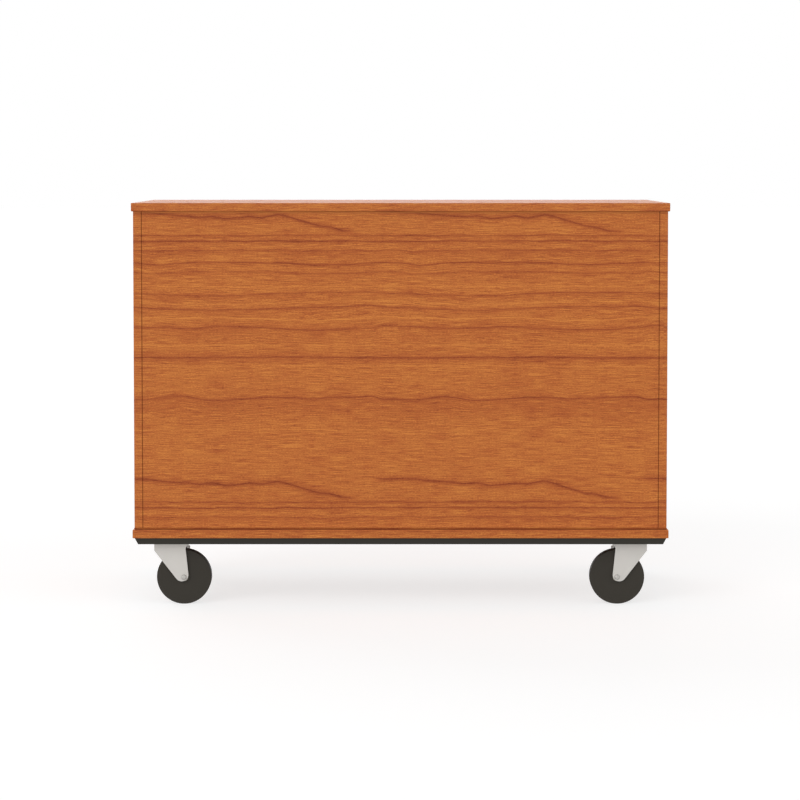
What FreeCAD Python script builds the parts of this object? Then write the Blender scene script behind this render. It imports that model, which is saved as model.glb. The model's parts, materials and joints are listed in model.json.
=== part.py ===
"""Mobile storage cabinet on four swivel casters, all sizes in millimetres.

The doors face -Y, the plain finished rear faces +Y, +Z is up and the floor lies at Z = 0.
Left is -X and right is +X, as seen by someone who stands in front of the doors.
"""
import FreeCAD
import Part
import math
import os

from FreeCAD import Vector

# Case of the cabinet
CASE_WIDTH = 1219.2
CASE_DEPTH = 609.6
CASE_HEIGHT = 762.0
PANEL = 19.05
BACK_THICKNESS = 12.7
SIDE_OVERHANG = 4.0
REAR_OVERHANG = 8.0
EDGE_ROUND = 1.5
SEAM_CHAMFER = 0.8

# Dowels that join the panels
DOWEL_DIAMETER = 8.0
DOWEL_IN_SLAB = 12.0
DOWEL_IN_PANEL = 18.0
DOWEL_END_INSET = 60.0
DOWELS_PER_SIDE = 3
DOWELS_PER_BACK = 5

# Shelves and the pins that carry them
SHELF_THICKNESS = 25.4
SHELF_SETBACK = 40.0
SHELF_END_GAP = 1.6
SHELF_REAR_GAP = 0.3
PIN_DIAMETER = 5.0
PIN_HOLE_DEPTH = 11.0
PIN_PITCH = 32.0
PIN_COLUMN_INSET = 64.0
PIN_END_MARGIN = 96.0
PIN_TAB_LENGTH = 12.0
PIN_TAB_WIDTH = 10.0
LOWER_SHELF_HOLE = 4
UPPER_SHELF_HOLE = 11

# Doors
DOOR_RECESS = 2.0
DOOR_EDGE_GAP = 3.0
DOOR_MIDDLE_GAP = 3.0

# Door hinges with five knuckles
HINGE_LEAF = 1.6
HINGE_LEAF_GAP = 0.8
HINGE_HEIGHT = 70.0
HINGE_KNUCKLES = 5
HINGE_KNUCKLE_GAP = 0.4
HINGE_BARREL_RADIUS = 4.5
HINGE_PIN_RADIUS = 2.4
HINGE_TIP_HEIGHT = 2.6
HINGE_TIP_STEP = 0.2
HINGE_END_INSET = 110.0
HINGE_DOOR_REACH = 44.0
HINGE_SIDE_REACH = 34.0

# Wire pulls
PULL_ROD_RADIUS = 4.0
PULL_SPACING = 128.0
PULL_PROJECTION = 35.0
PULL_BEND_RADIUS = 12.0
PULL_EDGE_INSET = 62.0
PULL_BELOW_TOP = 230.0
PULL_SCREW_RADIUS = 2.0
PULL_SCREW_DEPTH = 9.0
PULL_SCREW_HEAD_RADIUS = 4.2
PULL_SCREW_HEAD = 2.6

# Lock in the right door
LOCK_EDGE_INSET = 26.0
LOCK_BELOW_TOP = 62.0
LOCK_FLANGE_RADIUS = 12.5
LOCK_FLANGE = 3.0
LOCK_BARREL_RADIUS = 9.5
LOCK_PLUG_RADIUS = 6.0
KEY_SLOT_WIDTH = 1.4
KEY_SLOT_HEIGHT = 7.2
KEY_SLOT_DEPTH = 6.0
LOCK_NUT = 5.0
LOCK_NUT_ACROSS = 24.0
LOCK_TAIL = 7.0
LOCK_CAM = 2.5
LOCK_CAM_LENGTH = 40.0
LOCK_CAM_WIDTH = 16.0
LOCK_CAM_GAP = 0.8
KEEPER_HEIGHT = 30.0
KEEPER_FOOT = 2.0

# Slide bolt on the left door
BOLT_EDGE_INSET = 48.0
BOLT_RADIUS = 4.0
BOLT_STAND_OFF = 9.0
BOLT_TRAVEL = 15.0
BOLT_LENGTH = 96.0
BOLT_PLATE = 2.0
BOLT_PLATE_WIDTH = 28.0
BOLT_GUIDE_HEIGHT = 12.0
BOLT_GUIDE_WIDTH = 15.0
BOLT_KNOB_RADIUS = 3.5
BOLT_KNOB_LENGTH = 16.0

# Magnetic catches and their strike plates
CATCH_OFFSET = 150.0
CATCH_LENGTH = 46.0
CATCH_DEPTH = 15.0
CATCH_HEIGHT = 13.0
CATCH_POLE_REACH = 1.0
CATCH_ROUND = 2.0
STRIKE = 1.5

# Base frame under the bottom panel
SKIRT_HEIGHT = 15.0
SKIRT_TOP_INSET = 4.5
SKIRT_BOTTOM_INSET = 11.5
SKIRT_SHEET = 2.5
SKIRT_FLANGE = 10.0

# Casters
REAR_CASTER_INSET_X = 82.5
FRONT_CASTER_INSET_X = 63.6
CASTER_INSET_Y = 75.0
CASTER_OFFSET = 30.0
PLATE_LENGTH = 114.3
PLATE_WIDTH = 88.9
PLATE_THICKNESS = 4.0
PLATE_CORNER = 9.0
PLATE_HOLE_X = 46.0
PLATE_HOLE_Y = 33.0
PLATE_SLOT = 3.0
RACE_GAP = 3.6
RACE_RING_OUTER = 30.0
RACE_RING_INNER = 23.0
BALL_CIRCLE = 17.0
BALL_RADIUS = 3.0
BALLS = 12
KING_PIN_RADIUS = 6.0
KING_PIN_HEAD_RADIUS = 11.0
KING_PIN_HEAD = 5.0
KING_PIN_CHAMFER = 1.2

# Caster forks
FORK_GAP = 38.0
FORK_SHEET = 3.2
CROWN_THICKNESS = 4.0
CROWN_ABOVE_WHEEL = 22.15
FORK_BEND_RADIUS = 4.0
LEG_LEAD = 67.9
LEG_BEND_DROP = 27.35
LEG_TIP_RADIUS = 15.4
LEG_TIP_LEAD = 5.1
LEG_TIP_RISE = 5.6
LEG_NECK_TRAIL = 3.9
LEG_NECK_DROP = 22.45
LEG_CROWN_TRAIL = 12.0
LEG_FLARE_DROP = 8.35

# Wheels
WHEEL_RADIUS = 62.5
WHEEL_TREAD = 32.0
WHEEL_SHOULDER = 1.5
WHEEL_HUB_RADIUS = 13.0
WHEEL_HUB_PLAY = 0.5
BUSH_RADIUS = 9.5
AXLE_RADIUS = 4.75
AXLE_HEAD_RADIUS = 6.0
AXLE_HEAD = 3.6

# Brake pedals of the front casters
PEDAL_PIVOT_LEAD = 5.0
PEDAL_PIVOT_RISE = 9.0
PEDAL_REST_TILT = 9.6
PEDAL_SHEET = 4.0
PEDAL_LENGTH = 80.0
PEDAL_HUB_RADIUS = 5.2
PEDAL_PIN_RADIUS = 2.5
PEDAL_PIN_HEAD = 1.6
PEDAL_SIDE_PLAY = 1.0
PEDAL_PAD_LENGTH = 26.0
PEDAL_PAD_WIDTH = 46.0
PEDAL_RIB = 1.2

# Caster bolts
CASTER_BOLT_RADIUS = 3.9
CASTER_BOLT_DEPTH = 14.0
CASTER_BOLT_HEAD = 5.3
CASTER_BOLT_ACROSS = 13.0

# Clearances
FIT = 0.05
PRESS = 0.02
RUN = 0.3
END_GAP = 0.5

# Reach within which an edge counts as lying at a place
NEAR = 0.001

# Places that follow from the sizes
FRONT_REACH = PULL_PROJECTION - DOOR_RECESS
REAR = (CASE_DEPTH + FRONT_REACH) / 2
FRONT = REAR - CASE_DEPTH
SLAB_X = CASE_WIDTH / 2
CASTER_HEIGHT = 2 * WHEEL_RADIUS + CROWN_ABOVE_WHEEL + CROWN_THICKNESS + RACE_GAP + PLATE_THICKNESS
BASE = CASTER_HEIGHT
INNER_FLOOR = BASE + PANEL
TOP = BASE + CASE_HEIGHT
CEILING = TOP - PANEL
SIDE_OUT = SLAB_X - SIDE_OVERHANG
SIDE_IN = SIDE_OUT - PANEL
BACK_REAR = REAR - REAR_OVERHANG
BACK_FRONT = BACK_REAR - BACK_THICKNESS
DOOR_FACE = FRONT + DOOR_RECESS
DOOR_BACK = DOOR_FACE + PANEL
HINGE_GAP = 2 * HINGE_LEAF + HINGE_LEAF_GAP
SIDE_FRONT = DOOR_BACK + HINGE_GAP
DOOR_LOW = INNER_FLOOR + DOOR_EDGE_GAP
DOOR_HIGH = CEILING - DOOR_EDGE_GAP
DOOR_INNER = DOOR_MIDDLE_GAP / 2
HINGE_X = SIDE_OUT + HINGE_BARREL_RADIUS
HINGE_Y = DOOR_BACK + HINGE_GAP / 2
LOCK_X = DOOR_INNER + LOCK_EDGE_INSET
LOCK_Z = DOOR_HIGH - LOCK_BELOW_TOP
CAM_Y = DOOR_BACK + LOCK_NUT + LOCK_CAM_GAP
BOLT_X = -(DOOR_INNER + BOLT_EDGE_INSET)
BOLT_Y = DOOR_BACK + BOLT_STAND_OFF
REAR_CASTER_X = SLAB_X - REAR_CASTER_INSET_X
FRONT_CASTER_X = SLAB_X - FRONT_CASTER_INSET_X
CASTER_MID_Y = (FRONT + REAR) / 2
CASTER_SPREAD_Y = CASE_DEPTH / 2 - CASTER_INSET_Y
PLATE_LOW = CASTER_HEIGHT - PLATE_THICKNESS
CROWN_HIGH = PLATE_LOW - RACE_GAP
CROWN_LOW = CROWN_HIGH - CROWN_THICKNESS
LEG_BEND_HEIGHT = CROWN_HIGH - LEG_BEND_DROP
LEG_NECK_HEIGHT = CROWN_HIGH - LEG_NECK_DROP
LEG_FLARE_HEIGHT = CROWN_HIGH - LEG_FLARE_DROP
LEG_TIP_HEIGHT = WHEEL_RADIUS + LEG_TIP_RISE
PEDAL_PIVOT_HEIGHT = 2 * WHEEL_RADIUS + PEDAL_PIVOT_RISE
FORK_OUT = FORK_GAP / 2 + FORK_SHEET
HUB_HALF = FORK_GAP / 2 - WHEEL_HUB_PLAY
PIN_RISE = PIN_DIAMETER / 2
FIRST_PIN = INNER_FLOOR + PIN_END_MARGIN
PIN_ROWS = int((CEILING - PIN_END_MARGIN - FIRST_PIN) / PIN_PITCH) + 1
PIN_FRONT_Y = SIDE_FRONT + PIN_COLUMN_INSET
PIN_REAR_Y = BACK_FRONT - PIN_COLUMN_INSET
LOWER_SHELF_Z = FIRST_PIN + LOWER_SHELF_HOLE * PIN_PITCH + PIN_RISE
UPPER_SHELF_Z = FIRST_PIN + UPPER_SHELF_HOLE * PIN_PITCH + PIN_RISE

X_AXIS = Vector(1, 0, 0)
Y_AXIS = Vector(0, 1, 0)
Z_AXIS = Vector(0, 0, 1)
ORIGIN = Vector(0, 0, 0)


# Shape helpers

def block(x0, x1, y0, y1, z0, z1):
    """Box between two corners."""
    return Part.makeBox(x1 - x0, y1 - y0, z1 - z0, Vector(x0, y0, z0))


def rod(radius, start, axis, length):
    """Cylinder from a start point along an axis."""
    return Part.makeCylinder(radius, length, start, axis)


def prism(points, depth):
    """Polygon moved along a vector into a solid."""
    return Part.Face(Part.makePolygon(points + points[:1])).extrude(depth)


def hexagon(across, start, axis, length):
    """Hexagonal prism of a given size across its flats."""
    radius = across / math.sqrt(3)
    flat = []
    for step in range(6):
        angle = math.radians(60 * step)
        flat.append(Vector(radius * math.cos(angle), radius * math.sin(angle), 0))
    shape = prism(flat, Z_AXIS * length)
    shape.Placement = FreeCAD.Placement(start, FreeCAD.Rotation(Z_AXIS, axis))
    return shape


def rounded(shape, radius):
    """Solid with all of its edges rounded."""
    return shape.makeFillet(radius, shape.Edges)


def upright_edges(shape):
    """Edges of a solid that run straight up."""
    found = []
    for edge in shape.Edges:
        run = edge.Vertexes[-1].Point - edge.Vertexes[0].Point
        if abs(run.x) + abs(run.y) < NEAR and abs(run.z) > NEAR:
            found.append(edge)
    return found


def spread(low, high, count):
    """Evenly spaced values from low to high."""
    return [low + (high - low) * step / (count - 1) for step in range(count)]


def mirrored(shape):
    """The same shape on the other side of the cabinet."""
    return shape.mirror(ORIGIN, X_AXIS)


# Panels

def dowel_places():
    """Dowel axes as x, y, low end and high end."""
    low_joint = (INNER_FLOOR - DOWEL_IN_SLAB, INNER_FLOOR + DOWEL_IN_PANEL)
    high_joint = (CEILING - DOWEL_IN_PANEL, CEILING + DOWEL_IN_SLAB)
    middle = SIDE_OUT - PANEL / 2
    side_y = spread(SIDE_FRONT + DOWEL_END_INSET, BACK_REAR - DOWEL_END_INSET, DOWELS_PER_SIDE)
    back_x = spread(-SIDE_IN + DOWEL_END_INSET, SIDE_IN - DOWEL_END_INSET, DOWELS_PER_BACK)
    spots = [(side * middle, y) for side in (-1, 1) for y in side_y]
    spots += [(x, (BACK_FRONT + BACK_REAR) / 2) for x in back_x]
    return [(x, y, low, high) for x, y in spots for low, high in (low_joint, high_joint)]


def dowels(extra_radius, extra_end):
    """Dowel pegs, or their holes when the extra sizes are more than zero."""
    radius = DOWEL_DIAMETER / 2 + extra_radius
    pegs = []
    for x, y, low, high in dowel_places():
        length = high - low + 2 * extra_end
        pegs.append(rod(radius, Vector(x, y, low - extra_end), Z_AXIS, length))
    return Part.makeCompound(pegs)


def slab(low):
    """Top or bottom panel before its holes are drilled."""
    board = block(-SLAB_X, SLAB_X, FRONT, REAR, low, low + PANEL)
    return rounded(board, EDGE_ROUND)


def top_panel():
    """Top panel with dowel holes and the socket of the slide bolt."""
    depth = BOLT_TRAVEL - DOOR_EDGE_GAP + END_GAP
    socket = rod(BOLT_RADIUS + RUN, Vector(BOLT_X, BOLT_Y, CEILING), Z_AXIS, depth)
    return slab(CEILING).cut(dowels(FIT, END_GAP)).cut(socket)


def bottom_panel():
    """Bottom panel with dowel holes and the holes of the caster bolts."""
    board = slab(BASE).cut(dowels(FIT, END_GAP))
    holes = []
    for spot in bolt_places():
        depth = CASTER_BOLT_DEPTH + END_GAP
        holes.append(rod(CASTER_BOLT_RADIUS + FIT, spot + Z_AXIS * BASE, Z_AXIS, depth))
    return board.cut(Part.makeCompound(holes))


def pin_columns():
    """Places of the two columns of pin holes."""
    return (PIN_FRONT_Y, PIN_REAR_Y)


def side_panel():
    """Right side panel with two columns of pin holes."""
    board = block(SIDE_IN, SIDE_OUT, SIDE_FRONT, BACK_REAR, INNER_FLOOR, CEILING)
    board = board.makeChamfer(SEAM_CHAMFER, upright_edges(board))
    holes = []
    for y in pin_columns():
        for row in range(PIN_ROWS):
            place = Vector(SIDE_IN, y, FIRST_PIN + row * PIN_PITCH)
            holes.append(rod(PIN_DIAMETER / 2 + FIT, place, X_AXIS, PIN_HOLE_DEPTH))
    return board.cut(Part.makeCompound(holes)).cut(dowels(FIT, END_GAP))


def back_panel():
    """Back panel between the side panels, its rear edges chamfered along the seams."""
    board = block(-SIDE_IN, SIDE_IN, BACK_FRONT, BACK_REAR, INNER_FLOOR, CEILING)
    rear = [edge for edge in upright_edges(board) if edge.CenterOfMass.y > BACK_REAR - NEAR]
    return board.makeChamfer(SEAM_CHAMFER, rear).cut(dowels(FIT, END_GAP))


def shelf(low):
    """Shelf that lies loose on its four pins."""
    end = SIDE_IN - SHELF_END_GAP
    front = SIDE_FRONT + SHELF_SETBACK
    rear = BACK_FRONT - SHELF_REAR_GAP
    board = block(-end, end, front, rear, low, low + SHELF_THICKNESS)
    return rounded(board, EDGE_ROUND)


def shelf_pins():
    """Four pins under each shelf, with a flat tab that carries it."""
    pins = []
    for shelf_low in (LOWER_SHELF_Z, UPPER_SHELF_Z):
        axis_z = shelf_low - PIN_RISE
        for y in pin_columns():
            shank = rod(PIN_DIAMETER / 2, Vector(SIDE_IN, y, axis_z), X_AXIS, PIN_HOLE_DEPTH - END_GAP)
            half = PIN_TAB_WIDTH / 2
            tab = block(SIDE_IN - PIN_TAB_LENGTH, SIDE_IN, y - half, y + half, axis_z - PIN_RISE, shelf_low)
            pin = shank.fuse(tab).removeSplitter()
            pins += [pin, mirrored(pin)]
    return Part.makeCompound(pins)


# Base frame

def rail_section(side_x, side_y):
    """Skirt section turned into the mitre plane of one corner."""
    slope = (SKIRT_BOTTOM_INSET - SKIRT_TOP_INSET) / SKIRT_HEIGHT
    wall = SKIRT_SHEET * math.sqrt(1 + slope * slope)
    section = [
        (SKIRT_TOP_INSET, 0),
        (SKIRT_BOTTOM_INSET, SKIRT_HEIGHT),
        (SKIRT_BOTTOM_INSET + wall, SKIRT_HEIGHT),
        (SKIRT_TOP_INSET + wall + slope * SKIRT_SHEET, SKIRT_SHEET),
        (SKIRT_TOP_INSET + SKIRT_FLANGE, SKIRT_SHEET),
        (SKIRT_TOP_INSET + SKIRT_FLANGE, 0),
    ]
    points = []
    for inset, drop in section:
        x = side_x * (SLAB_X - inset)
        y = CASTER_MID_Y + side_y * (CASE_DEPTH / 2 - inset)
        points.append(Vector(x, y, BASE - drop))
    return Part.makePolygon(points + points[:1])


def base_frame():
    """Four mitred rails of folded steel under the rim of the bottom panel."""
    corners = [(-1, -1), (1, -1), (1, 1), (-1, 1)]
    rails = []
    for step in range(4):
        ends = [rail_section(*corners[step]), rail_section(*corners[(step + 1) % 4])]
        rails.append(Part.makeLoft(ends, True, True))
    return Part.makeCompound(rails)


# Casters, drawn with the swivel axis on Z and the wheel trailing towards +X

def caster_places():
    """Name, swivel axis and heading of the four casters."""
    rear_y = CASTER_MID_Y + CASTER_SPREAD_Y
    front_y = CASTER_MID_Y - CASTER_SPREAD_Y
    return [
        ("rear_left", Vector(-REAR_CASTER_X, rear_y, 0), 0),
        ("rear_right", Vector(REAR_CASTER_X, rear_y, 0), 180),
        ("front_left", Vector(-FRONT_CASTER_X, front_y, 0), -90),
        ("front_right", Vector(FRONT_CASTER_X, front_y, 0), -90),
    ]


def placed(shape, place, heading):
    """Caster piece turned to its heading and set under the cabinet."""
    piece = shape.copy()
    piece.rotate(ORIGIN, Z_AXIS, heading)
    piece.translate(place)
    return piece


def plate_holes():
    """Bolt places of one caster plate."""
    return [Vector(sx * PLATE_HOLE_X, sy * PLATE_HOLE_Y, 0) for sx in (-1, 1) for sy in (-1, 1)]


def bolt_places():
    """Places of all caster bolts under the bottom panel."""
    spots = []
    for name, place, heading in caster_places():
        turn = FreeCAD.Rotation(Z_AXIS, heading)
        spots += [place + turn.multVec(hole) for hole in plate_holes()]
    return spots


def ball_groove(height):
    """Ring-shaped groove in which the balls run."""
    return Part.makeTorus(BALL_CIRCLE, BALL_RADIUS + FIT, Vector(0, 0, height), Z_AXIS)


def caster_plate():
    """Top plate with slotted holes and a pressed ring round the balls."""
    half_x = PLATE_LENGTH / 2
    half_y = PLATE_WIDTH / 2
    plate = block(-half_x, half_x, -half_y, half_y, PLATE_LOW, CASTER_HEIGHT)
    plate = plate.makeFillet(PLATE_CORNER, upright_edges(plate))
    drop = RACE_GAP - 2 * RUN
    ring = rod(RACE_RING_OUTER, Vector(0, 0, PLATE_LOW - drop), Z_AXIS, drop)
    ring = ring.cut(rod(RACE_RING_INNER, Vector(0, 0, PLATE_LOW - drop), Z_AXIS, drop))
    plate = plate.fuse(ring)
    radius = CASTER_BOLT_RADIUS + RUN
    low = PLATE_LOW
    for hole in plate_holes():
        x = hole.x
        y = hole.y
        slot = block(x - PLATE_SLOT, x + PLATE_SLOT, y - radius, y + radius, low, CASTER_HEIGHT)
        for end in (x - PLATE_SLOT, x + PLATE_SLOT):
            slot = slot.fuse(rod(radius, Vector(end, y, low), Z_AXIS, PLATE_THICKNESS))
        plate = plate.cut(slot)
    plate = plate.cut(rod(KING_PIN_RADIUS + PRESS, Vector(0, 0, PLATE_LOW), Z_AXIS, PLATE_THICKNESS))
    return plate.cut(ball_groove(PLATE_LOW - RACE_GAP / 2))


def king_pin():
    """Pin riveted into the plate, with a broad head under the fork's crown."""
    low = CROWN_LOW - RUN - KING_PIN_HEAD
    head = rod(KING_PIN_HEAD_RADIUS, Vector(0, 0, low), Z_AXIS, KING_PIN_HEAD)
    rim = [edge for edge in head.Edges if edge.CenterOfMass.z < low + NEAR]
    head = head.makeChamfer(KING_PIN_CHAMFER, rim)
    return head.fuse(rod(KING_PIN_RADIUS, Vector(0, 0, low), Z_AXIS, CASTER_HEIGHT - low)).removeSplitter()


def balls():
    """Ring of balls between the plate and the fork's crown."""
    ring = []
    for step in range(BALLS):
        angle = 2 * math.pi * step / BALLS
        x = BALL_CIRCLE * math.cos(angle)
        y = BALL_CIRCLE * math.sin(angle)
        centre = Vector(x, y, PLATE_LOW - RACE_GAP / 2)
        ring.append(Part.makeSphere(BALL_RADIUS, centre))
    return Part.makeCompound(ring)


def on_tip(angle):
    """Point on the round tip of a fork leg."""
    x = CASTER_OFFSET - LEG_TIP_LEAD + LEG_TIP_RADIUS * math.cos(angle)
    return Vector(x, 0, LEG_TIP_HEIGHT + LEG_TIP_RADIUS * math.sin(angle))


def tangent_angle(point, turn):
    """Angle on the round tip at which a line from a point touches it."""
    x = point.x - (CASTER_OFFSET - LEG_TIP_LEAD)
    z = point.z - LEG_TIP_HEIGHT
    return math.atan2(z, x) + turn * math.acos(LEG_TIP_RADIUS / math.hypot(x, z))


def fork_leg():
    """Side view of one fork leg, as a flat face."""
    lead_x = CASTER_OFFSET - LEG_LEAD
    trail_x = CASTER_OFFSET + LEG_CROWN_TRAIL
    lead_bend = Vector(lead_x, 0, LEG_BEND_HEIGHT)
    neck = Vector(CASTER_OFFSET + LEG_NECK_TRAIL, 0, LEG_NECK_HEIGHT)
    lead_angle = tangent_angle(lead_bend, 1)
    trail_angle = tangent_angle(neck, -1) + 2 * math.pi
    tip = Part.Arc(on_tip(lead_angle), on_tip((lead_angle + trail_angle) / 2), on_tip(trail_angle))
    rim = [
        on_tip(trail_angle),
        neck,
        Vector(trail_x, 0, LEG_FLARE_HEIGHT),
        Vector(trail_x, 0, CROWN_HIGH),
        Vector(lead_x, 0, CROWN_HIGH),
        lead_bend,
        on_tip(lead_angle),
    ]
    edges = [tip.toShape()] + Part.makePolygon(rim).Edges
    return Part.Face(Part.Wire(edges))


def fork(braked):
    """Fork pressed from sheet: a crown and two legs with a rounded bend between."""
    leg = fork_leg().extrude(Y_AXIS * FORK_SHEET)
    near = leg.translated(Y_AXIS * (FORK_GAP / 2))
    far = leg.translated(Y_AXIS * -FORK_OUT)
    lead_x = CASTER_OFFSET - LEG_LEAD
    crown = block(lead_x, CASTER_OFFSET + LEG_CROWN_TRAIL, -FORK_OUT, FORK_OUT, CROWN_LOW, CROWN_HIGH)
    shape = crown.fuse([near, far]).removeSplitter()
    bends = []
    for edge in shape.Edges:
        centre = edge.CenterOfMass
        if abs(centre.z - CROWN_HIGH) < NEAR and abs(abs(centre.y) - FORK_OUT) < NEAR:
            bends.append(edge)
    shape = shape.makeFillet(FORK_BEND_RADIUS, bends)
    shape = shape.cut(rod(KING_PIN_RADIUS + FIT, Vector(0, 0, CROWN_LOW), Z_AXIS, CROWN_THICKNESS))
    shape = shape.cut(ball_groove(PLATE_LOW - RACE_GAP / 2))
    across = 2 * FORK_OUT
    axle_hole = rod(AXLE_RADIUS + PRESS, Vector(CASTER_OFFSET, -FORK_OUT, WHEEL_RADIUS), Y_AXIS, across)
    shape = shape.cut(axle_hole)
    if braked:
        pin_x = CASTER_OFFSET - PEDAL_PIVOT_LEAD
        pin_start = Vector(pin_x, -FORK_OUT, PEDAL_PIVOT_HEIGHT)
        pin_hole = rod(PEDAL_PIN_RADIUS + PRESS, pin_start, Y_AXIS, across)
        shape = shape.cut(pin_hole)
    return shape


def axle_head():
    """Domed rivet head that stands out from +Y."""
    head = rod(AXLE_HEAD_RADIUS, ORIGIN, Y_AXIS, AXLE_HEAD)
    outer = [edge for edge in head.Edges if edge.CenterOfMass.y > AXLE_HEAD - NEAR]
    return head.makeFillet(AXLE_HEAD * 0.7, outer)


def axle():
    """Axle riveted through both fork legs."""
    shank = rod(AXLE_RADIUS, Vector(0, -FORK_OUT, 0), Y_AXIS, 2 * FORK_OUT)
    near = axle_head().translated(Y_AXIS * FORK_OUT)
    far = axle_head().mirror(ORIGIN, Y_AXIS).translated(Y_AXIS * -FORK_OUT)
    shape = shank.fuse([near, far]).removeSplitter()
    return shape.translated(Vector(CASTER_OFFSET, 0, WHEEL_RADIUS))


def wheel():
    """One-piece wheel with a round-shouldered tread and a hub."""
    half = WHEEL_TREAD / 2
    shoulder = WHEEL_RADIUS - WHEEL_SHOULDER
    turn = WHEEL_SHOULDER * math.sqrt(0.5)
    low = half - WHEEL_SHOULDER
    bore = BUSH_RADIUS + PRESS
    start = Vector(WHEEL_RADIUS, -low, 0)
    end = Vector(WHEEL_RADIUS, low, 0)
    near_arc = Part.Arc(end, Vector(shoulder + turn, low + turn, 0), Vector(shoulder, half, 0))
    far_arc = Part.Arc(Vector(shoulder, -half, 0), Vector(shoulder + turn, -low - turn, 0), start)
    side = [
        Vector(shoulder, half, 0),
        Vector(WHEEL_HUB_RADIUS, half, 0),
        Vector(WHEEL_HUB_RADIUS, HUB_HALF, 0),
        Vector(bore, HUB_HALF, 0),
        Vector(bore, -HUB_HALF, 0),
        Vector(WHEEL_HUB_RADIUS, -HUB_HALF, 0),
        Vector(WHEEL_HUB_RADIUS, -half, 0),
        Vector(shoulder, -half, 0),
    ]
    edges = [Part.makeLine(start, end), near_arc.toShape()]
    edges += Part.makePolygon(side).Edges + [far_arc.toShape()]
    shape = Part.Face(Part.Wire(edges)).revolve(ORIGIN, Y_AXIS, 360)
    return shape.translated(Vector(CASTER_OFFSET, 0, WHEEL_RADIUS))


def wheel_bush():
    """Plain bush pressed into the wheel, turning on the axle."""
    start = Vector(CASTER_OFFSET, -HUB_HALF, WHEEL_RADIUS)
    tube = rod(BUSH_RADIUS, start, Y_AXIS, 2 * HUB_HALF)
    return tube.cut(rod(AXLE_RADIUS + FIT, start, Y_AXIS, 2 * HUB_HALF))


def brake_pedal():
    """Foot pedal whose flat underside swings down on to the tread."""
    half = FORK_GAP / 2 - PEDAL_SIDE_PLAY
    pad_half = PEDAL_PAD_WIDTH / 2
    pad_start = PEDAL_LENGTH - PEDAL_PAD_LENGTH
    hub = rod(PEDAL_HUB_RADIUS, Vector(0, -half, 0), Y_AXIS, 2 * half)
    arm = block(0, pad_start + PEDAL_RIB, -half, half, 0, PEDAL_SHEET)
    pad = block(pad_start, PEDAL_LENGTH, -pad_half, pad_half, 0, PEDAL_SHEET)
    pad = pad.makeFillet(PEDAL_PAD_LENGTH / 4, upright_edges(pad))
    ribs = []
    for x in spread(pad_start + PEDAL_PAD_LENGTH / 4, PEDAL_LENGTH - PEDAL_PAD_LENGTH / 4, 3):
        reach = pad_half - PEDAL_PAD_LENGTH / 4
        low = PEDAL_SHEET - PEDAL_RIB
        high = PEDAL_SHEET + PEDAL_RIB
        ribs.append(block(x - PEDAL_RIB, x + PEDAL_RIB, -reach, reach, low, high))
    shape = hub.fuse([arm, pad] + ribs).removeSplitter()
    shape = shape.cut(rod(PEDAL_PIN_RADIUS + FIT, Vector(0, -half, 0), Y_AXIS, 2 * half))
    shape.rotate(ORIGIN, Y_AXIS, PEDAL_REST_TILT)
    return shape.translated(Vector(CASTER_OFFSET - PEDAL_PIVOT_LEAD, 0, PEDAL_PIVOT_HEIGHT))


def brake_pin():
    """Pin of the brake pedal, riveted through both fork legs."""
    place = Vector(CASTER_OFFSET - PEDAL_PIVOT_LEAD, 0, PEDAL_PIVOT_HEIGHT)
    shape = rod(PEDAL_PIN_RADIUS, Vector(0, -FORK_OUT, 0), Y_AXIS, 2 * FORK_OUT)
    head_radius = PEDAL_PIN_RADIUS + PEDAL_PIN_HEAD
    heads = [
        rod(head_radius, Vector(0, FORK_OUT, 0), Y_AXIS, PEDAL_PIN_HEAD),
        rod(head_radius, Vector(0, -FORK_OUT - PEDAL_PIN_HEAD, 0), Y_AXIS, PEDAL_PIN_HEAD),
    ]
    return shape.fuse(heads).removeSplitter().translated(place)


def caster_bolts():
    """Hexagon-head screws that hold the caster plates to the bottom panel."""
    bolts = []
    for spot in bolt_places():
        seat = spot + Z_AXIS * PLATE_LOW
        head = hexagon(CASTER_BOLT_ACROSS, seat - Z_AXIS * CASTER_BOLT_HEAD, Z_AXIS, CASTER_BOLT_HEAD)
        shank = rod(CASTER_BOLT_RADIUS, seat, Z_AXIS, PLATE_THICKNESS + CASTER_BOLT_DEPTH)
        bolts.append(head.fuse(shank).removeSplitter())
    return Part.makeCompound(bolts)


# Doors and what is fixed to them

def pull_heights():
    """Heights of the two feet of a pull."""
    middle = DOOR_HIGH - PULL_BELOW_TOP
    return (middle - PULL_SPACING / 2, middle + PULL_SPACING / 2)


def door_board(side):
    """Door panel on the left (-1) or right (1) with the holes of its pull."""
    x0, x1 = sorted((side * DOOR_INNER, side * SIDE_OUT))
    board = rounded(block(x0, x1, DOOR_FACE, DOOR_BACK, DOOR_LOW, DOOR_HIGH), EDGE_ROUND)
    pull_x = side * (DOOR_INNER + PULL_EDGE_INSET)
    for height in pull_heights():
        board = board.cut(rod(PULL_SCREW_RADIUS + RUN, Vector(pull_x, DOOR_FACE, height), Y_AXIS, PANEL))
    return board


def right_door():
    """Right door, bored for the lock."""
    bore = rod(LOCK_BARREL_RADIUS + RUN, Vector(LOCK_X, DOOR_FACE, LOCK_Z), Y_AXIS, PANEL)
    return door_board(1).cut(bore)


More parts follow.
